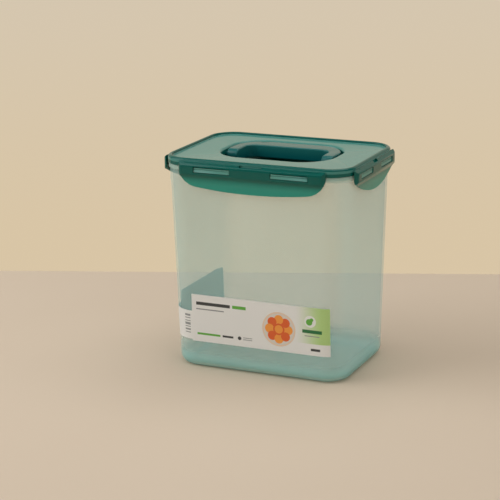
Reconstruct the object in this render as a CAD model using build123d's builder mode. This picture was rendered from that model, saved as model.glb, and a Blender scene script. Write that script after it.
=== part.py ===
"""Tall kitchen keeper: a drafted tub with a snap lid, four wings and a folding carrying handle.

Millimetres, +Z up. The origin is the middle of the base, on the surface that the tub stands on.
The long sides of the tub face -Y (front, with the label) and +Y, the short sides -X and +X.
"""

from build123d import *

import os
from dataclasses import dataclass
from math import cos, radians, sin, sqrt, tan

# Tub body
base_width = 188.0
base_depth = 131.5
base_corner_radius = 26.0
base_edge_radius = 10.0
draft_angle = 1.36
wall = 2.0
floor_thickness = 2.6
floor_edge_radius = 8.0

# Mouth of the tub: a straight band above the drafted wall, with a thicker collar, a flange and a lip
body_height = 195.0
collar_height = 13.7
collar_proud = 0.6
mouth_corner_radius = 24.5
flange_height = 4.7
flange_proud = 2.0
flange_round = 0.9
lip_height = 2.5
lip_round = 0.7

# Lugs that the wings snap over
lug_height = 4.5
lug_proud = 2.95
lug_round = 1.0
lug_edge_round = 0.7

# Lid
panel_rise = 3.1
panel_thickness = 2.2
rim_height = 2.5
rim_outer = 2.7
rim_width = 4.6
rim_round = 3.0
rim_inner_round = 1.4
panel_root_round = 1.0
skirt_thickness = 1.8
skirt_gap = 0.3
plug_thickness = 1.5
plug_clearance = 0.5
plug_depth = 8.0
plug_round = 0.6
channel_roof = 1.5
seal_gap = 0.2

# Gasket
gasket_side_gap = 0.1
gasket_round = 0.5

# Well in the lid, with the finger pocket
well_length = 122.0
well_width = 87.0
well_centre = 6.0
well_corner_radius = 34.0
well_depth = 17.0
well_wall = 2.0
well_taper = 2.0
well_lip_round = 3.0
well_root_round = 1.6
well_floor_round = 3.0

# Carrying handle, folded down into the well
handle_gap = 2.8
handle_height = 13.0
handle_drop = 0.3
arm_width = 12.0
grip_width = 20.5
grip_inner_radius = 10.0
handle_rib = 2.0
handle_hollow = 9.0
handle_round = 1.5
pin_chamfer = 0.5
arm_reach = 4.0
pin_radius = 3.0
pin_clearance = 0.06
pin_engagement = 2.4
socket_end_gap = 0.3
boss_wall = 2.5

# Wings: section sizes, measured outwards from the mouth's wall and downwards from the lid's crest
hinge_out = 3.3
hinge_drop = 3.8
bead_radius = 1.3
bead_clearance = 0.08
shoulder_drop = 2.3
shoulder_round = 3.6
bulge_out = 6.9
bulge_round = 4.0
wing_wall = 1.8
wing_end_wall = 4.2
wing_end_round = 6.6
wing_top_round = 3.0
hook_gap = 0.4
hook_height = 1.7
tab_out = 4.4
step_height = 4.0
tab_height = 5.8
foot_flare = 0.7
foot_length = 6.8
tab_wall = 1.3
step_round = 4.0
window_top_gap = 0.9
window_end_gap = 0.6
window_round = 0.8
notch_drop = 0.9

# Long wings, on the front and back
long_wing_length = 159.4
long_wing_bow = 6.4
long_wing_corner = 22.0
long_lug_inner = 22.3
long_lug_outer = 60.9
long_notch = 24.0

# Short wings, on the ends
short_wing_length = 114.0
short_wing_bow = 16.5
short_wing_corner = 7.0
short_lug_inner = 12.4
short_lug_outer = 44.2
short_notch = 11.0

# How far a hinge bead stops short of the rim's straight part, and its groove runs past the wing
bead_end_gap = 2.0

# Label: a front panel, a narrower band round the corner and a panel on the left side
label_thickness = 0.2
label_gap = 0.05
label_left = 70.5
label_right = 80.5
label_bottom = 29.0
label_top = 79.3
label_band_top = 61.0
label_band_bottom = 30.5
label_side_top = 73.0
label_side_front = 41.5
label_side_back = 55.0

# One overrun for every cut that runs past the piece
overrun = 5.0

# Derived sizes
slope = tan(radians(draft_angle))
mouth_width = base_width + 2 * body_height * slope
mouth_depth = base_depth + 2 * body_height * slope
flange_bottom = body_height + collar_height
flange_top = flange_bottom + flange_height
lip_top = flange_top + lip_height
panel_top = lip_top + panel_rise
crest_height = panel_top + rim_height
lug_bottom = flange_top - lug_height
skirt_bottom = flange_top + skirt_gap
panel_bottom = panel_top - panel_thickness
plug_outer = wall + plug_clearance
plug_inner = plug_outer + plug_thickness
plug_bottom = panel_bottom - plug_depth
channel_outer = rim_outer - skirt_thickness
channel_top = panel_top - channel_roof
gasket_bottom = lip_top + seal_gap
well_floor = panel_top - well_depth
handle_top = panel_top - handle_drop
handle_bottom = handle_top - handle_height
arm_end_radius = handle_height / 2
pivot_height = handle_bottom + arm_end_radius
pivot_place = arm_end_radius - arm_reach
handle_half = well_length / 2 - handle_gap
grip_back = well_centre + well_width / 2 - handle_gap
hook_top = lug_bottom - hook_gap
window_top = flange_top + window_top_gap
hinge_height = crest_height - hinge_drop
wing_top = hinge_height + bead_radius
shoulder_height = hinge_height - shoulder_drop
bulge_bottom = hook_top - hook_height
tab_top = bulge_bottom - step_height
tab_waist = tab_top - tab_height
foot_height = tab_waist - foot_length

# Where the pins' line meets the rounded end of the well, and so how far the pins and sockets reach
corner_drop = pivot_place - well_centre + well_width / 2 - well_corner_radius
corner_reach = sqrt(well_corner_radius**2 - min(corner_drop, 0) ** 2)
wall_at_pin = well_length / 2 - well_corner_radius + corner_reach
pin_end = wall_at_pin + pin_engagement
socket_end = pin_end + socket_end_gap
socket_radius = pin_radius + pin_clearance
boss_radius = socket_radius + boss_wall
boss_end = socket_end + boss_wall


def body_outline(level, grow):
    """Outline of the drafted body at a level, grown outwards from the outer face of its wall."""
    spread = 2 * (level * slope + grow)
    share = level / body_height
    radius = base_corner_radius + (mouth_corner_radius - base_corner_radius) * share + grow
    RectangleRounded(base_width + spread, base_depth + spread, radius)


def mouth_outline(grow, mode=Mode.ADD):
    """Outline of the mouth, grown outwards from the outer face of the tub's wall."""
    RectangleRounded(mouth_width + 2 * grow, mouth_depth + 2 * grow, mouth_corner_radius + grow,
                     mode=mode)


@dataclass
class Side:
    """Sizes of the wing and lugs on one side of the mouth."""

    direction: float
    wing_length: float
    bow: float
    corner: float
    lug_inner: float
    lug_outer: float
    notch: float

    def plane(self):
        """Plane on the mouth's wall: X runs along the side, Y is up and Z points outwards."""
        outward = Vector(cos(radians(self.direction)), sin(radians(self.direction)), 0)
        reach = abs(outward.X) * mouth_width / 2 + abs(outward.Y) * mouth_depth / 2
        return Plane(origin=outward * reach, x_dir=Vector(0, 0, 1).cross(outward), z_dir=outward)

    def section_plane(self):
        """Plane across the wing at the middle of its side: X points outwards and Y is up."""
        plane = self.plane()
        return Plane(origin=plane.origin, x_dir=plane.z_dir, z_dir=plane.x_dir * -1)

    def plan_plane(self):
        """Level plane on the surface that the tub stands on, with X along the side."""
        plane = self.plane()
        return Plane(origin=plane.origin, x_dir=plane.x_dir, z_dir=(0, 0, 1))

    def straight_half(self):
        """Half length of the straight part of the rim on this side."""
        along_depth = abs(cos(radians(self.direction))) * mouth_depth / 2
        along_width = abs(sin(radians(self.direction))) * mouth_width / 2
        return along_depth + along_width - mouth_corner_radius

    def lug_places(self, height):
        """The middles of the two lugs on the side's plane, at a height."""
        middle = (self.lug_inner + self.lug_outer) / 2
        return Locations((-middle, height), (middle, height))

    def lug_length(self):
        return self.lug_outer - self.lug_inner


def long_side(direction):
    return Side(direction, long_wing_length, long_wing_bow, long_wing_corner,
                long_lug_inner, long_lug_outer, long_notch)


def short_side(direction):
    return Side(direction, short_wing_length, short_wing_bow, short_wing_corner,
                short_lug_inner, short_lug_outer, short_notch)


sides = {
    "front": long_side(270),
    "right": short_side(0),
    "back": long_side(90),
    "left": short_side(180),
}

os.makedirs("parts", exist_ok=True)

# Hollow of the tub, with its rounded floor edge
with BuildPart() as hollow:
    with BuildSketch(Plane.XY.offset(floor_thickness)):
        body_outline(floor_thickness, -wall)
    with BuildSketch(Plane.XY.offset(body_height)):
        mouth_outline(-wall)
    loft(ruled=True)
    fillet(hollow.faces().sort_by(Axis.Z)[0].edges(), floor_edge_radius)
    with BuildSketch(Plane.XY.offset(body_height)):
        mouth_outline(-wall)
    extrude(amount=lip_top - body_height + overrun)

# Flange round the mouth, rounded on both edges
with BuildPart() as flange:
    with BuildSketch(Plane.XY.offset(flange_bottom)):
        mouth_outline(flange_proud)
    extrude(amount=flange_top - flange_bottom)
    fillet(flange.faces().filter_by(Plane.XY).edges(), flange_round)


def lug_bar(side):
    """One lug of a side, lying on the XY plane with its rounded face up."""
    with BuildPart() as bar:
        with BuildSketch():
            RectangleRounded(side.lug_length(), lug_height, lug_round)
        extrude(amount=lug_proud)
        fillet(bar.faces().sort_by(Axis.Z)[-1].edges(), lug_edge_round)
    return bar.part


lugs = {name: lug_bar(side) for name, side in sides.items()}

# Tub: drafted body, collar, flange, lip and eight lugs
with BuildPart() as container:
    with BuildSketch(Plane.XY):
        body_outline(0, 0)
    with BuildSketch(Plane.XY.offset(body_height)):
        mouth_outline(0)
    loft(ruled=True)
    fillet(container.faces().sort_by(Axis.Z)[0].edges(), base_edge_radius)
    with BuildSketch(Plane.XY.offset(body_height)):
        mouth_outline(collar_proud)
    extrude(amount=flange_bottom - body_height + flange_round)
    with BuildSketch(Plane.XY.offset(body_height)):
        mouth_outline(0)
    extrude(amount=lip_top - body_height)
    add(flange.part)
    for name, side in sides.items():
        with Locations(side.plane()), side.lug_places(lug_bottom + lug_height / 2):
            add(lugs[name])
    add(hollow.part, mode=Mode.SUBTRACT)
    fillet(container.faces().filter_by(Plane.XY).sort_by(Axis.Z)[-1].edges(), lip_round)
container.part.label = "container"
export_step(container.part, "parts/container.step")

# Places that the label covers: front panel, band round the front left corner, panel on the left side
with BuildPart() as label_places:
    with BuildSketch(Plane.XY.offset(label_bottom)):
        with Locations((label_right, 0)):
            Rectangle(label_left + label_right, mouth_depth, align=(Align.MAX, Align.MAX))
    extrude(amount=label_top - label_bottom)
    with BuildSketch(Plane.XY.offset(label_band_bottom)):
        with Locations((-label_left, 0)):
            Rectangle(mouth_width, mouth_depth, align=(Align.MAX, Align.MAX))
    extrude(amount=label_band_top - label_band_bottom)
    with BuildSketch(Plane.XY.offset(label_band_bottom)):
        with Locations((0, label_side_back)):
            Rectangle(mouth_width, label_side_back + label_side_front, align=(Align.MAX, Align.MAX))
    extrude(amount=label_side_top - label_band_bottom)

# Label: a skin on the tub's outer face, kept where the label's places are
with BuildPart() as label:
    with BuildSketch(Plane.XY):
        body_outline(0, label_gap + label_thickness)
    with BuildSketch(Plane.XY.offset(body_height)):
        mouth_outline(label_gap + label_thickness)
    loft(ruled=True)
    with BuildSketch(Plane.XY):
        body_outline(0, label_gap)
    with BuildSketch(Plane.XY.offset(body_height)):
        mouth_outline(label_gap)
    loft(ruled=True, mode=Mode.SUBTRACT)
    add(label_places.part, mode=Mode.INTERSECT)
label.part.label = "label"
export_step(label.part, "parts/label.step")

# Pan of the well, hanging under the panel, and the well inside it, both narrowing downwards
with BuildPart() as pan:
    with BuildSketch(Plane.XY.offset(panel_bottom)):
        with Locations((0, well_centre)):
            RectangleRounded(well_length + 2 * well_wall, well_width + 2 * well_wall,
                             well_corner_radius + well_wall)
    extrude(amount=panel_bottom - well_floor + well_wall, dir=(0, 0, -1), taper=well_taper)
    fillet(pan.faces().sort_by(Axis.Z)[0].edges(), well_floor_round)

with BuildPart() as well:
    with BuildSketch(Plane.XY.offset(panel_top)):
        with Locations((0, well_centre)):
            RectangleRounded(well_length, well_width, well_corner_radius)
    extrude(amount=well_depth, dir=(0, 0, -1), taper=well_taper)
    fillet(well.faces().sort_by(Axis.Z)[0].edges(), well_floor_round)


def level_face(piece, level):
    """The flat level face of a piece that lies nearest to a level."""
    return piece.faces().filter_by(Plane.XY).sort_by(lambda face: abs(face.center().Z - level))[0]


# Places of the handle's two pins, on the right and on the left
pin_line = Plane(origin=(0, pivot_place, pivot_height), x_dir=(0, 1, 0), z_dir=(1, 0, 0))

# Lid: rim, panel, plug wall, well with blind pin sockets, and hinge grooves along the rim
with BuildPart() as lid:
    with BuildSketch(Plane.XY.offset(skirt_bottom)):
        mouth_outline(rim_outer)
    extrude(amount=crest_height - skirt_bottom)
    with BuildSketch(Plane.XY.offset(panel_top)):
        mouth_outline(rim_outer - rim_width)
    extrude(amount=crest_height - panel_top, mode=Mode.SUBTRACT)
    fillet(lid.faces().sort_by(Axis.Z)[-1].outer_wire().edges(), rim_round)
    fillet(lid.faces().sort_by(Axis.Z)[-1].inner_wires()[0].edges(), rim_inner_round)
    panel_face = lid.faces().filter_by(Plane.XY).sort_by(Axis.Z)[-2]
    fillet(panel_face.edges(), panel_root_round)
    with BuildSketch(Plane.XY.offset(skirt_bottom)):
        mouth_outline(channel_outer)
        mouth_outline(-plug_outer, mode=Mode.SUBTRACT)
    extrude(amount=channel_top - skirt_bottom, mode=Mode.SUBTRACT)
    with BuildSketch(Plane.XY.offset(skirt_bottom)):
        mouth_outline(-plug_inner)
    extrude(amount=panel_bottom - skirt_bottom, mode=Mode.SUBTRACT)
    with BuildSketch(Plane.XY.offset(plug_bottom)):
        mouth_outline(-plug_outer)
        mouth_outline(-plug_inner, mode=Mode.SUBTRACT)
    extrude(amount=panel_bottom - plug_bottom)
    fillet(lid.faces().sort_by(Axis.Z)[0].edges(), plug_round)
    add(pan.part)
    under_face = level_face(lid, panel_bottom)
    fillet(under_face.inner_wires()[0].edges(), well_root_round)
    with BuildSketch(pin_line):
        Circle(boss_radius)
    extrude(amount=boss_end, both=True)
    add(well.part, mode=Mode.SUBTRACT)
    panel_face = level_face(lid, panel_top)
    fillet(panel_face.inner_wires()[0].edges(), well_lip_round)
    with BuildSketch(pin_line):
        Circle(socket_radius)
    extrude(amount=socket_end, both=True, mode=Mode.SUBTRACT)
    for side in sides.values():
        with Locations(side.plane()), Locations((0, hinge_height, hinge_out)):
            Cylinder(bead_radius + bead_clearance, side.wing_length + 2 * bead_end_gap,
                     rotation=(0, 90, 0), mode=Mode.SUBTRACT)
lid.part.label = "lid"
export_step(lid.part, "parts/lid.step")

# Gasket: a ring in the roof of the lid's channel, over the tub's lip
with BuildPart() as gasket:
    with BuildSketch(Plane.XY.offset(gasket_bottom)):
        mouth_outline(channel_outer - gasket_side_gap)
        mouth_outline(gasket_side_gap - plug_outer, mode=Mode.SUBTRACT)
    extrude(amount=channel_top - gasket_bottom)
    fillet(gasket.faces().sort_by(Axis.Z)[0].edges(), gasket_round)
gasket.part.label = "gasket"
export_step(gasket.part, "parts/gasket.step")


def bail_outline(inset):
    """Plan of the folded bail, inset from its outer and inner edges; its arms run forward."""
    full_depth = 2 * (grip_back + arm_reach)
    hole_depth = full_depth - 2 * grip_width
    outer_radius = well_corner_radius - handle_gap - inset
    with Locations((0, -arm_reach)):
        RectangleRounded(2 * (handle_half - inset), full_depth - 2 * inset, outer_radius)
        RectangleRounded(2 * (handle_half - arm_width + inset), hole_depth + 2 * inset,
                         grip_inner_radius + inset, mode=Mode.SUBTRACT)
        Rectangle(2 * handle_half, full_depth / 2, align=(Align.CENTER, Align.MIN),
                  mode=Mode.INTERSECT)


# Handle: a U-shaped bail with rounded arm ends, hollow underneath, and a pin outside each arm
with BuildPart() as handle:
    with BuildSketch(Plane.XY.offset(handle_bottom)):
        bail_outline(0)
    extrude(amount=handle_height)
    with BuildSketch(Plane.YZ):
        with Locations((pivot_place, pivot_height)):
            Circle(arm_end_radius)
            Rectangle(grip_back + arm_reach, handle_height, align=(Align.MIN, Align.CENTER))
    extrude(amount=handle_half + overrun, both=True, mode=Mode.INTERSECT)
    fillet(handle.faces().sort_by(Axis.Z)[-1].edges().filter_by(Axis.X, reverse=True), handle_round)
    with BuildSketch(Plane.XY.offset(handle_bottom)):
        bail_outline(handle_rib)
        with Locations((0, pivot_place + arm_end_radius)):
            Rectangle(2 * handle_half, 2 * grip_back, align=(Align.CENTER, Align.MIN),
                      mode=Mode.INTERSECT)
    extrude(amount=handle_hollow, mode=Mode.SUBTRACT)
    for direction in (1, -1):
        with Locations(Plane(origin=pin_line.origin, x_dir=(0, 1, 0), z_dir=(direction, 0, 0))):
            with Locations((0, 0, handle_half - arm_width / 2)):
                Cylinder(pin_radius, pin_end - handle_half + arm_width / 2,
                         align=(Align.CENTER, Align.CENTER, Align.MIN))
    fillet(handle.faces().sort_by(Axis.X)[0].edges(), pin_chamfer)
    fillet(handle.faces().sort_by(Axis.X)[-1].edges(), pin_chamfer)
handle.part.label = "handle"
export_step(handle.part, "parts/handle.step")


# Outer section of every wing, outwards from the mouth's wall and up, with each corner's rounding
wing_inner = tab_out - tab_wall
wing_corners = [
    ((hinge_out, wing_top), 0),
    ((bulge_out, shoulder_height), shoulder_round),
    ((bulge_out, bulge_bottom), bulge_round),
    ((tab_out, tab_top), step_round),
    ((tab_out, tab_waist), step_round),
    ((tab_out + foot_flare, foot_height), 0),
    ((wing_inner + foot_flare, foot_height), 0),
    ((wing_inner, tab_waist), step_round),
    ((wing_inner, hinge_height - bead_radius), 0),
]

# Section of the pocket behind every wing's windows
pocket_corners = [
    ((0, hook_top), 0),
    ((bulge_out - wing_wall, hook_top), 0),
    ((bulge_out - wing_wall, shoulder_height - wing_wall), wing_wall),
    ((hinge_out, hinge_height - bead_radius), 0),
    ((0, hinge_height - bead_radius), 0),
]


def wing(side):
    """A snap wing: pillow-ended shell with two windows, hook bars under them and a split bead."""
    half = side.wing_length / 2
    with BuildPart() as plate:
        with BuildSketch(side.section_plane()):
            with BuildLine():
                FilletPolyline(*[point for point, radius in wing_corners], close=True,
                               radius=[radius for point, radius in wing_corners])
            make_face()
        extrude(amount=half, both=True)
        with BuildSketch(side.plan_plane()):
            RectangleRounded(side.wing_length, 2 * bulge_out, wing_end_round)
        extrude(amount=crest_height, mode=Mode.INTERSECT)
        with BuildSketch(side.plane()) as face:
            with BuildLine():
                Polyline((-half, foot_height + side.bow), (-half, crest_height),
                         (half, crest_height), (half, foot_height + side.bow))
                ThreePointArc((half, foot_height + side.bow), (0, foot_height),
                              (-half, foot_height + side.bow))
            make_face()
            fillet(face.vertices().group_by(Axis.Y)[0], side.corner)
        extrude(amount=bulge_out, mode=Mode.INTERSECT)
        with BuildSketch(side.plane()):
            with Locations((0, wing_top)):
                RectangleRounded(side.wing_length, wing_top - foot_height + wing_top_round,
                                 wing_top_round, align=(Align.CENTER, Align.MAX))
        extrude(amount=bulge_out, mode=Mode.INTERSECT)
        with BuildSketch(side.section_plane()):
            with BuildLine():
                FilletPolyline(*[point for point, radius in pocket_corners], close=True,
                               radius=[radius for point, radius in pocket_corners])
            make_face()
        extrude(amount=half - wing_end_wall, both=True, mode=Mode.SUBTRACT)
        with BuildSketch(side.plane()):
            with side.lug_places((window_top + hook_top) / 2):
                RectangleRounded(side.lug_length() + 2 * window_end_gap, window_top - hook_top,
                                 window_round)
        extrude(amount=bulge_out + overrun, mode=Mode.SUBTRACT)
        with Locations(side.plane()), Locations((0, hinge_height, hinge_out)):
            Cylinder(bead_radius, 2 * (side.straight_half() - bead_end_gap), rotation=(0, 90, 0))
        with BuildSketch(side.plane()):
            with Locations((0, hinge_height - notch_drop)):
                Rectangle(side.notch, crest_height - hinge_height,
                          align=(Align.CENTER, Align.MIN))
        extrude(amount=bulge_out + overrun, mode=Mode.SUBTRACT)
    return plate.part


for name, side in sides.items():
    snap_wing = wing(side)
    snap_wing.label = "wing_" + name
    export_step(snap_wing, "parts/wing_" + name + ".step")
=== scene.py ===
"""A tall translucent kitchen keeper with a snap lid, on a pale table in front of a pale wall."""

import math

import bpy
from mathutils import Matrix, Vector


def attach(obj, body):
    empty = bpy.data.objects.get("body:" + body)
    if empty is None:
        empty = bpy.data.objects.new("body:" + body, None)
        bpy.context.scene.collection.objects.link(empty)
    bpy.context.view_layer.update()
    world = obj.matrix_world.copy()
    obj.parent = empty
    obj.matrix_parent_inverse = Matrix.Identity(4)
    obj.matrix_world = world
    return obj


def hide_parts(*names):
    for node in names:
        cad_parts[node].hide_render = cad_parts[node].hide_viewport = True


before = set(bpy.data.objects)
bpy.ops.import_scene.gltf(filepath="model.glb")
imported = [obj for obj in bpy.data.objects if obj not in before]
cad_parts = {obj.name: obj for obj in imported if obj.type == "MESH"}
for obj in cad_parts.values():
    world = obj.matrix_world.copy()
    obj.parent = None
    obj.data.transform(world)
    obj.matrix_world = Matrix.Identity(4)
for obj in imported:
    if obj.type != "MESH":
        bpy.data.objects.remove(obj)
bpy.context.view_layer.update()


# Tub: one thin shell of frosted polypropylene, moulded with its rim flange and the eight lugs that
# the wings snap over. The plastic is milky and faintly aqua. Towards the base its colour deepens, partly
# the thick base's own colour and partly painted shade, the tinted shadow under the tub.

MM = 0.001
MERGE_DISTANCE = 0.005 * MM
SMOOTH_ANGLE = math.radians(32)


def deselect_all():
    """Nothing stays selected, because an operator acts on all that is."""
    for thing in bpy.context.selected_objects:
        thing.select_set(False)


def shell_of(node, name):
    """A joined and smoothly shaded copy of a moulded part, as a piece of its own."""
    deselect_all()
    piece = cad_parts[node].copy()
    piece.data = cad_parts[node].data.copy()
    piece.name = name
    piece.parent = None
    bpy.context.scene.collection.objects.link(piece)
    bpy.context.view_layer.objects.active = piece
    piece.select_set(True)
    bpy.ops.object.mode_set(mode="EDIT")
    bpy.ops.mesh.select_all(action="SELECT")
    bpy.ops.mesh.customdata_custom_splitnormals_clear()
    bpy.ops.mesh.remove_doubles(threshold=MERGE_DISTANCE)
    bpy.ops.object.mode_set(mode="OBJECT")
    bpy.ops.object.shade_smooth_by_angle(angle=SMOOTH_ANGLE)
    piece.data.materials.clear()
    return piece


def settle(piece, body, node, slot, *finishes):
    """Gives a piece its materials and its body, and hides the moulded part that it stands for; slot is not
    used.
    """
    for finish in finishes:
        piece.data.materials.append(finish)
    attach(piece, body)
    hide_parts(node)


class Value:
    """A socket of a material's nodes, written in sums as a number is."""

    def __init__(self, finish, socket):
        self.finish = finish
        self.socket = socket

    def math(self, operation, *terms):
        return self.finish.node("ShaderNodeMath", {"operation": operation}, dict(enumerate(terms)))

    def __add__(self, other):
        return self.math("ADD", self, other)

    def __radd__(self, other):
        return self.math("ADD", other, self)

    def __sub__(self, other):
        return self.math("SUBTRACT", self, other)

    def __rsub__(self, other):
        return self.math("SUBTRACT", other, self)

    def __mul__(self, other):
        return self.math("MULTIPLY", self, other)

    def __truediv__(self, other):
        return self.math("DIVIDE", self, other)

    def __lt__(self, other):
        return self.math("LESS_THAN", self, other)

    def __gt__(self, other):
        return self.math("GREATER_THAN", self, other)

    def __abs__(self):
        return self.math("ABSOLUTE", self)

    def ramp(self, start, end):
        """0 before start, 1 after end and smooth between them."""
        return self.finish.node("ShaderNodeMapRange", {"interpolation_type": "SMOOTHSTEP"},
                                {"Value": self, "From Min": start, "From Max": end})


class Finish:
    """A material under construction: its nodes, and the Principled shader that they feed."""

    def __init__(self, name):
        self.material = bpy.data.materials.new(name)
        self.material.use_nodes = True
        self.tree = self.material.node_tree
        self.shader = self.tree.nodes["Principled BSDF"]

    def node(self, kind, settings=None, inputs=None, output=0):
        """A new node, with its settings, then the values or links of its sockets; gives one output."""
        made = self.tree.nodes.new(kind)
        for key, setting in (settings or {}).items():
            setattr(made, key, setting)
        for key, term in (inputs or {}).items():
            self.put(made.inputs[key], term)
        return Value(self, made.outputs[output])

    def put(self, socket, term):
        if isinstance(term, Value):
            self.tree.links.new(term.socket, socket)
        elif isinstance(term, tuple) and len(socket.default_value) > len(term):
            socket.default_value = (*term, 1.0)
        else:
            socket.default_value = term

    def place(self):
        """X, Y and Z of the surface in millimetres."""
        where = self.node("ShaderNodeTexCoord", output="Object")
        split = self.node("ShaderNodeSeparateXYZ", inputs={0: where})
        axes = [Value(self, socket) for socket in split.socket.node.outputs]
        return [axis / MM for axis in axes]

    def mix(self, share, first, second):
        """Colour between two colours by a share from 0 to 1."""
        return self.node("ShaderNodeMix", {"data_type": "RGBA"}, {0: share, 6: first, 7: second}, 2)

    def noise(self, size, detail=2.0):
        """Even cloudy noise whose features are about size millimetres across."""
        where = self.node("ShaderNodeTexCoord", output="Object")
        return self.node("ShaderNodeTexNoise", inputs={
            "Vector": where, "Scale": 1 / (size * MM), "Detail": detail, "Roughness": 0.5})

    def bump(self, height, distance):
        """Relief of a height from 0 to 1, distance millimetres deep."""
        self.set(Normal=self.node("ShaderNodeBump", inputs={
            "Height": height, "Distance": distance * MM, "Strength": 1.0}))

    def set(self, **sockets):
        """Sets or links the shader's sockets, named with _ for a space."""
        for name, term in sockets.items():
            self.put(self.shader.inputs[name.replace("_", " ")], term)


# Levels are in millimetres above the table; each share runs from its start to its full level
POLYPROPYLENE_IOR = 1.49
FROSTED_WALL = (0.62, 0.85, 0.80)
FROSTED_SIDE_AND_LIGHT = (0.62, 0.92, 0.90)
FROSTED_BASE_AND_SHADE = (0.38, 0.74, 0.71)
FROSTED_MOUTH = (0.52, 0.74, 0.66)
WALL_ALPHA = 0.20
SIDE_ALPHA = 0.28
SIDE_START = 80.0
SIDE_FULL = 97.0
BASE_ALPHA = 0.55
MOUTH_ALPHA = 0.60
BASE_START = 24.0
BASE_FULL = 3.0
MOUTH_START = 207.0
MOUTH_FULL = 209.5

frosted = Finish("frosted_polypropylene")
x, y, z = frosted.place()
# Painted shade: towards the table the colour deepens, a tinted shadow under the tub as well as the thick
# base's own colour.
base_and_shade_share = z.ramp(BASE_START, BASE_FULL)
mouth_share = z.ramp(MOUTH_START, MOUTH_FULL)
cloud = frosted.noise(30.0, detail=3.0)
# Partly painted light: the side walls are a stronger, brighter aqua, standing for bluish light scattered
# through them as well as the plastic seen edge on.
side_share = abs(x).ramp(SIDE_START, SIDE_FULL)
side_colour = frosted.mix(side_share, FROSTED_WALL, FROSTED_SIDE_AND_LIGHT)
wall_colour = frosted.mix(base_and_shade_share, side_colour, FROSTED_BASE_AND_SHADE)
frosted.set(
    Base_Color=frosted.mix(mouth_share, wall_colour, FROSTED_MOUTH),
    Roughness=0.34 + cloud * 0.10,
    Alpha=(WALL_ALPHA + side_share * (SIDE_ALPHA - WALL_ALPHA) * (1.0 - base_and_shade_share) * (1.0 - mouth_share)
           + base_and_shade_share * (BASE_ALPHA - WALL_ALPHA) + mouth_share * (MOUTH_ALPHA - WALL_ALPHA)),
    IOR=POLYPROPYLENE_IOR,
)
frosted.bump(frosted.noise(0.9), 0.02)

tub = shell_of("container", "tub_shell")
settle(tub, "container", "container", "tub_plastic", frosted.material)


# Lug faces: the grooved fronts of the tub's eight lugs, which stand in the wings' windows. They are
# moulded solid in one with the rim flange, and coloured a deep teal, far darker than the tub's wall,
# with a cloudy tone.

MOUTH_HALF_WIDTH = 98.63
MOUTH_HALF_DEPTH = 70.38
LUG_BOTTOM = 208.9
LUG_TOP = 213.4
LUG_ROOT = 2.4
LUG_FACE = 6.1
LUG_GROOVE_HEIGHT = 0.7
LUG_GROOVE_DEPTH = 0.7
LUG_EDGE = 0.45
LONG_LUG_ENDS = (22.3, 60.9)
SHORT_LUG_ENDS = (12.4, 44.2)
LUG_DEEP = (0.085, 0.31, 0.26)
LUG_PALE = (0.12, 0.36, 0.30)

lug_plastic = Finish("lug_polypropylene")
lug_plastic.set(Base_Color=lug_plastic.mix(lug_plastic.noise(9.0), LUG_DEEP, LUG_PALE),
                Roughness=0.30 + lug_plastic.noise(3.0) * 0.08, IOR=POLYPROPYLENE_IOR)


def lug_face(name, turn, wall_reach, ends):
    """One lug's front: a bar with a level groove and rounded edges, turned to its side of the tub."""
    deselect_all()
    middle = (ends[0] + ends[1]) / 2
    depth = LUG_FACE - LUG_ROOT
    height = LUG_TOP - LUG_BOTTOM
    bpy.ops.mesh.primitive_cube_add(size=1.0)
    bar = bpy.context.object
    bar.name = name
    bar.scale = (abs(ends[1] - ends[0]) * MM, depth * MM, height * MM)
    bpy.ops.object.transform_apply(location=False, rotation=False, scale=True)
    bpy.ops.object.mode_set(mode="EDIT")
    groove_low = (height / 6 - LUG_GROOVE_HEIGHT / 2) * MM
    groove_high = (height / 6 + LUG_GROOVE_HEIGHT / 2) * MM
    for level in (groove_low, groove_high):
        bpy.ops.mesh.select_all(action="SELECT")
        bpy.ops.mesh.bisect(plane_co=(0.0, 0.0, level), plane_no=(0.0, 0.0, 1.0))
    bpy.ops.object.mode_set(mode="OBJECT")
    for face in bar.data.polygons:
        face.select = face.normal.y < -0.9 and groove_low < face.center.z < groove_high
    bpy.ops.object.mode_set(mode="EDIT")
    bpy.ops.mesh.extrude_region_move(TRANSFORM_OT_translate={"value": (0.0, LUG_GROOVE_DEPTH * MM, 0.0)})
    bpy.ops.object.mode_set(mode="OBJECT")
    rounding = bar.modifiers.new("edge", "BEVEL")
    rounding.width = LUG_EDGE * MM
    rounding.segments = 3
    rounding.limit_method = "ANGLE"
    bpy.ops.object.modifier_apply(modifier=rounding.name)
    bpy.ops.object.shade_smooth_by_angle(angle=SMOOTH_ANGLE)
    place = Vector((middle, -wall_reach - LUG_ROOT - depth / 2, (LUG_BOTTOM + LUG_TOP) / 2)) * MM
    bar.location = Matrix.Rotation(turn, 3, "Z") @ place
    bar.rotation_euler.z = turn
    bpy.ops.object.transform_apply(location=True, rotation=True, scale=False)
    bar.data.materials.append(lug_plastic.material)
    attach(bar, "container")


for side, quarter in (("front", 0), ("right", 1), ("back", 2), ("left", 3)):
    reach = MOUTH_HALF_WIDTH if quarter % 2 else MOUTH_HALF_DEPTH
    low, high = SHORT_LUG_ENDS if quarter % 2 else LONG_LUG_ENDS
    lug_face("lug_" + side + "_a", quarter * math.pi / 2, reach, (-high, -low))
    lug_face("lug_" + side + "_b", quarter * math.pi / 2, reach, (low, high))


# Sticker: a coated paper label, printed with a plain green panel, a rosette and a few bars, and
# stuck on the front, round the front left corner and along the left side. Its back is painted aqua:
# painted light, the light tinted by the tub's walls that reaches the white paper.

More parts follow.
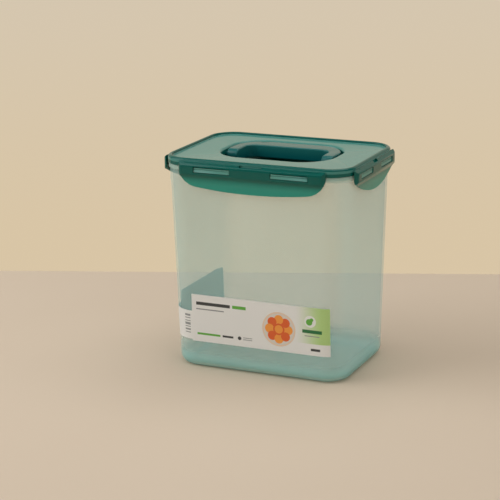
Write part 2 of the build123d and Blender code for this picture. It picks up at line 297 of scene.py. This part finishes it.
PAPER = (0.80, 0.80, 0.78)
PALE_GREEN = (0.45, 0.66, 0.24)
LEAF_GREEN = (0.12, 0.42, 0.05)
DARK_GREEN = (0.012, 0.16, 0.045)
INK = (0.045, 0.05, 0.05)
GREY_INK = (0.28, 0.29, 0.29)
CORAL = (0.75, 0.12, 0.02)
ORANGE = (0.90, 0.33, 0.05)
CREAM = (0.78, 0.60, 0.45)
PLATE_GREY = (0.70, 0.66, 0.60)
SPOT_GREY = (0.80, 0.82, 0.78)
STICKER_BACK_TINTED_LIGHT = (0.74, 0.96, 0.93)

printed = Finish("printed_sticker")
x, y, z = printed.place()


def bar(centre_x, centre_z, length, height):
    """1 inside a printed bar on the front, in millimetres."""
    return (abs(x - centre_x) < length / 2) * (abs(z - centre_z) < height / 2) * (y < 0.0)


def disc(centre_x, centre_z, radius):
    """1 inside a printed disc on the front."""
    across = x - centre_x
    up = z - centre_z
    return ((across * across + up * up) < radius * radius) * (y < 0.0)


def print_on(ground, mask, colour):
    return printed.mix(mask, ground, colour)


PANEL_LEFT = 47.5
PANEL_BOTTOM = 41.2
PANEL_FADE_BEFORE = 6.0
PANEL_FADE_AFTER = 26.0
ROSETTE_X = 26.0
ROSETTE_Z = 52.5
ROSETTE_RADIUS = 16.5
ROSETTE_RIM = 1.6
PETALS = 8
PETAL_REACH = 10.2
PETAL_RADIUS = 4.9
HEART_RADIUS = 6.2
HEART_CORE_RADIUS = 4.4

fade = x.ramp(PANEL_LEFT - PANEL_FADE_BEFORE, PANEL_LEFT + PANEL_FADE_AFTER)
ground = print_on(PAPER, (z > PANEL_BOTTOM) * (y < 0.0) * fade, PALE_GREEN)
ground = print_on(ground, disc(ROSETTE_X, ROSETTE_Z, ROSETTE_RADIUS + ROSETTE_RIM), CREAM)
ground = print_on(ground, disc(ROSETTE_X, ROSETTE_Z, ROSETTE_RADIUS), PLATE_GREY)
for number in range(PETALS):
    turn = math.tau * number / PETALS
    petal_x = ROSETTE_X + PETAL_REACH * math.cos(turn)
    petal_z = ROSETTE_Z + PETAL_REACH * math.sin(turn)
    ground = print_on(ground, disc(petal_x, petal_z, PETAL_RADIUS), CORAL if number % 2 else ORANGE)
ground = print_on(ground, disc(ROSETTE_X, ROSETTE_Z, HEART_RADIUS), CORAL)
ground = print_on(ground, disc(ROSETTE_X, ROSETTE_Z, HEART_CORE_RADIUS), ORANGE)

# The other marks in printing order, each a shape at its place on the front and its colour
MARKS = (
    (disc, (60.0, 64.5, 6.2), SPOT_GREY),
    (disc, (59.0, 63.8, 3.4), LEAF_GREEN),
    (disc, (61.6, 66.4, 1.9), LEAF_GREEN),
    (bar, (62.0, 54.0, 21.0, 3.6), DARK_GREEN),
    (bar, (62.0, 49.2, 16.0, 0.9), GREY_INK),
    (bar, (65.5, 35.0, 10.0, 2.6), INK),
    (bar, (-46.5, 70.0, 38.0, 3.4), INK),
    (bar, (-17.5, 70.0, 15.0, 3.4), LEAF_GREEN),
    (bar, (-50.0, 64.0, 31.0, 1.3), GREY_INK),
    (bar, (-52.0, 37.5, 26.0, 2.2), LEAF_GREEN),
    (bar, (-30.5, 37.5, 12.0, 2.2), INK),
    (disc, (-17.5, 37.6, 2.0), INK),
    (bar, (-8.5, 38.6, 10.0, 0.8), GREY_INK),
    (bar, (-8.5, 36.6, 10.0, 0.8), GREY_INK),
)
for shape, sizes, colour in MARKS:
    ground = print_on(ground, shape(*sizes), colour)

# A ladder of stripes on the band where it starts to turn the front left corner
STRIPE_HEIGHTS = (2.2, 1.0, 1.0, 2.6, 1.0, 1.8, 1.0)
STRIPE_TOP = 56.0
STRIPE_PITCH = 3.1
STRIPE_X = -76.0
STRIPE_HALF_LENGTH = 3.4
STRIPE_FRONT = -60.0

for row, height in enumerate(STRIPE_HEIGHTS):
    stripe = ((abs(z - (STRIPE_TOP - STRIPE_PITCH * row)) < height / 2)
              * (abs(x - STRIPE_X) < STRIPE_HALF_LENGTH) * (y < STRIPE_FRONT))
    ground = print_on(ground, stripe, GREY_INK)
printed.set(Base_Color=ground, Roughness=0.42 + printed.noise(6.0) * 0.08, Coat_Weight=0.15,
            Coat_Roughness=0.25)

# Painted light: the back is given the aqua of light tinted by the tub's walls in place of the paper's white.
sticker_back = Finish("sticker_back")
sticker_back.set(Base_Color=STICKER_BACK_TINTED_LIGHT, Roughness=0.55 + sticker_back.noise(2.0) * 0.1)

sticker = shell_of("label", "front_sticker")
settle(sticker, "container", "label", "sticker", printed.material, sticker_back.material)
for face in sticker.data.polygons:
    inward = face.normal.x * face.center.x * 0.4 + face.normal.y * face.center.y < 0
    face.material_index = 1 if inward else 0


# Lid: a glossy teal moulding that light passes through, with a raised rim, a flat panel, a wall that
# plugs the mouth and a well for the handle. Off the panel's level it is a deeper teal, partly the
# plastic's own colour seen thick and edge on, partly painted shade on the rim's faces and in the well.

TEAL_DEEP = (0.003, 0.15, 0.12)
TEAL_PLATE = (0.10, 0.36, 0.31)
TEAL_TAB = (0.05, 0.38, 0.29)
PANEL_MIDDLE = 218.2
PLATE_START = 0.9
PLATE_FULL = 1.6


def teal_plastic(name, start_colour, full_colour, colour_measure, start, full):
    """Glossy teal plastic whose colour runs from one colour to another between start and full of a measure
    taken from the surface's place.
    """
    teal = Finish(name)
    share = colour_measure(*teal.place()).ramp(start, full)
    cloud = teal.noise(18.0, detail=3.0)
    teal.set(Base_Color=teal.mix(share, start_colour, full_colour), Roughness=0.13 + cloud * 0.07,
             Transmission_Weight=0.30, IOR=1.40, Specular_IOR_Level=0.35)
    teal.bump(teal.noise(0.7), 0.005)
    return teal.material


# Painted shade: away from the panel's level the lid turns a deeper teal, on the rim's faces and down in the
# handle's well, as well as the plastic's own deeper colour seen thick and edge on.
lid_teal = teal_plastic("lid_polypropylene", TEAL_PLATE, TEAL_DEEP,
                        lambda x, y, z: abs(z - PANEL_MIDDLE), PLATE_START, PLATE_FULL)

lid = shell_of("lid", "lid_moulding")
settle(lid, "lid", "lid", "lid_plastic", lid_teal)


# Gasket: a ring of soft white silicone in the channel under the lid's rim, over the mouth's lip.

silicone = Finish("white_silicone")
silicone.set(Base_Color=(0.62, 0.66, 0.63), Roughness=0.48 + silicone.noise(4.0) * 0.1)
silicone.bump(silicone.noise(0.5), 0.01)

gasket = shell_of("gasket", "seal_ring")
settle(gasket, "lid", "gasket", "seal", silicone.material)


# Wings: four hinged flaps of the lid's own teal plastic, each with two windows that the lugs fill. The
# flap's colour runs from a paler teal low on its tab to a deep teal from its hook bars up.

TAB_LEVEL = 196.0
HOOK_LEVEL = 207.0

wing_teal = teal_plastic("wing_polypropylene", TEAL_TAB, TEAL_DEEP, lambda x, y, z: z, TAB_LEVEL, HOOK_LEVEL)

for side in ("front", "back", "left", "right"):
    name = "wing_" + side
    wing = shell_of(name, name + "_flap")
    settle(wing, name, name, "lid_plastic", wing_teal)


# Handle: a U-shaped bail of the same plastic, hollow underneath and turned down into its well.

BAIL_TOP = (0.02, 0.19, 0.18)
BAIL_PAINTED_SHADE = (0.003, 0.14, 0.155)
BAIL_UNDERSIDE_LEVEL = 206.0
BAIL_TOP_LEVEL = 218.0

# Painted shade: the bail is darker low down in its well and lighter at its top.
bail_teal = teal_plastic("bail_polypropylene", BAIL_PAINTED_SHADE, BAIL_TOP, lambda x, y, z: z,
                         BAIL_UNDERSIDE_LEVEL, BAIL_TOP_LEVEL)

handle = shell_of("handle", "carrying_bail")
settle(handle, "handle", "handle", "lid_plastic", bail_teal)


# Stage: a pale matt table that ends behind the keeper, and a wall far enough past its back edge to
# leave room for a look from behind, lit softly from the left and above with a weak fill at the right.

CAMERA_AZIMUTH = math.radians(24.182)
CAMERA_ELEVATION = math.radians(15.176)
CAMERA_ROLL = math.radians(-0.702)
CAMERA_PLACE = Vector((663.716, -1555.512, 574.483)) * MM
FOCAL_PIXELS = 1692.90
FRAME_PIXELS = 500.0
SENSOR = 36.0

back = Vector((math.sin(CAMERA_AZIMUTH) * math.cos(CAMERA_ELEVATION),
               -math.cos(CAMERA_AZIMUTH) * math.cos(CAMERA_ELEVATION),
               math.sin(CAMERA_ELEVATION)))
level_right = Vector((math.cos(CAMERA_AZIMUTH), math.sin(CAMERA_AZIMUTH), 0.0))
level_up = back.cross(level_right)
right = level_right * math.cos(CAMERA_ROLL) + level_up * math.sin(CAMERA_ROLL)
up = back.cross(right)

camera_data = bpy.data.cameras.new("camera")
camera_data.sensor_fit = "HORIZONTAL"
camera_data.sensor_width = SENSOR
camera_data.lens = FOCAL_PIXELS / FRAME_PIXELS * SENSOR
camera = bpy.data.objects.new("camera", camera_data)
bpy.context.scene.collection.objects.link(camera)
camera.matrix_world = Matrix((
    (right.x, up.x, back.x, CAMERA_PLACE.x),
    (right.y, up.y, back.y, CAMERA_PLACE.y),
    (right.z, up.z, back.z, CAMERA_PLACE.z),
    (0.0, 0.0, 0.0, 1.0),
))
bpy.context.scene.camera = camera

TABLE_REACH = 6.0
EDGE_LEFT_PIXEL = (140.0, 271.8)
EDGE_RIGHT_PIXEL = (450.0, 274.0)
WALL_BEHIND = 3.0
WALL_HEIGHT = 4.0
WALL_DROP = 2.5


def table_point(column, row):
    """Where the camera's ray through a pixel meets the table."""
    ray = (right * (column - FRAME_PIXELS / 2) - up * (row - FRAME_PIXELS / 2)) / FOCAL_PIXELS - back
    return CAMERA_PLACE + ray * (-CAMERA_PLACE.z / ray.z)


edge_start = table_point(*EDGE_LEFT_PIXEL)
edge_along = (table_point(*EDGE_RIGHT_PIXEL) - edge_start).normalized()
towards = edge_along.cross(Vector((0.0, 0.0, 1.0)))


def stage_sheet(name, corners, finish):
    """A flat sheet of the stage through four corners."""
    mesh = bpy.data.meshes.new(name)
    mesh.from_pydata([tuple(corner) for corner in corners], [], [(0, 1, 2, 3)])
    mesh.materials.append(finish)
    sheet = bpy.data.objects.new(name, mesh)
    bpy.context.scene.collection.objects.link(sheet)


TABLE_DEEP = (0.68, 0.55, 0.42)
TABLE_PALE = (0.72, 0.59, 0.46)

table = Finish("pale_table")
table.set(Base_Color=table.mix(table.noise(400.0), TABLE_DEEP, TABLE_PALE), Roughness=0.6)
table.bump(table.noise(1.5), 0.02)

WALL_LOW = (0.69, 0.56, 0.38)
WALL_HIGH = (0.66, 0.57, 0.445)
WALL_LOW_LEVEL = -850.0
WALL_HIGH_LEVEL = 350.0
UNLIT = (0.0, 0.0, 0.0)

# The wall glows with its own even colour for what the camera sees, directly or in gloss and plastic
wall = Finish("pale_wall")
x, y, z = wall.place()
sight = wall.node("ShaderNodeLightPath")
rays = sight.socket.node.outputs
seen = (Value(wall, rays["Is Camera Ray"]) + Value(wall, rays["Is Glossy Ray"])
        + Value(wall, rays["Is Transmission Ray"])) > 0.5
wall_colour = wall.mix(z.ramp(WALL_LOW_LEVEL, WALL_HIGH_LEVEL), WALL_LOW, WALL_HIGH)
wall.set(Base_Color=UNLIT, Roughness=1.0, Specular_IOR_Level=0.0,
         Emission_Color=wall.mix(seen, UNLIT, wall_colour), Emission_Strength=1.0)

far_left = edge_start - edge_along * TABLE_REACH
far_right = edge_start + edge_along * TABLE_REACH
stage_sheet("table_top", (far_left + towards * TABLE_REACH, far_right + towards * TABLE_REACH,
                          far_right, far_left), table.material)
wall_left = far_left - towards * WALL_BEHIND
wall_right = far_right - towards * WALL_BEHIND
stage_sheet("back_wall", (wall_left - Vector((0, 0, WALL_DROP)), wall_right - Vector((0, 0, WALL_DROP)),
                          wall_right + Vector((0, 0, WALL_HEIGHT)),
                          wall_left + Vector((0, 0, WALL_HEIGHT))), wall.material)


def softbox(name, place, target, size, power, colour):
    """A soft rectangular lamp at a place in metres, turned to a target."""
    lamp_data = bpy.data.lights.new(name, "AREA")
    lamp_data.shape = "RECTANGLE"
    lamp_data.size, lamp_data.size_y = size
    lamp_data.energy = power
    lamp_data.color = colour
    lamp = bpy.data.objects.new(name, lamp_data)
    lamp.location = place
    lamp.rotation_euler = (Vector(target) - Vector(place)).to_track_quat("-Z", "Y").to_euler()
    bpy.context.scene.collection.objects.link(lamp)


# Each softbox: name, place, target, size, power in watts and colour
SOFTBOXES = (
    ("key_softbox", (-1.3, -0.7, 1.2), (0.0, 0.0, 0.1), (1.6, 1.6), 18.0, (0.94, 0.98, 1.0)),
    ("top_softbox", (0.2, 0.45, 2.0), (0.0, 0.1, 0.1), (1.6, 1.6), 15.0, (1.0, 0.99, 0.97)),
    ("fill_softbox", (1.4, -0.9, 1.0), (0.0, 0.0, 0.1), (1.5, 1.5), 4.0, (0.96, 0.99, 1.0)),
)
for lamp_row in SOFTBOXES:
    softbox(*lamp_row)

ROOM_COLOUR = (1.0, 0.96, 0.90, 1.0)
ROOM_LIGHT = 0.40
ROOM_IN_GLOSS = 0.14

world = bpy.data.worlds.new("studio")
world.use_nodes = True
sky = world.node_tree.nodes["Background"]
sky.inputs["Color"].default_value = ROOM_COLOUR
# The room is dimmer in gloss than in the light that it gives, so the plastic keeps its deep colour
room_rays = world.node_tree.nodes.new("ShaderNodeLightPath")
dimming = world.node_tree.nodes.new("ShaderNodeMapRange")
dimming.inputs["To Min"].default_value = ROOM_LIGHT
dimming.inputs["To Max"].default_value = ROOM_IN_GLOSS
world.node_tree.links.new(room_rays.outputs["Is Glossy Ray"], dimming.inputs["Value"])
world.node_tree.links.new(dimming.outputs["Result"], sky.inputs["Strength"])
bpy.context.scene.world = world
bpy.context.scene.view_settings.view_transform = "Standard"
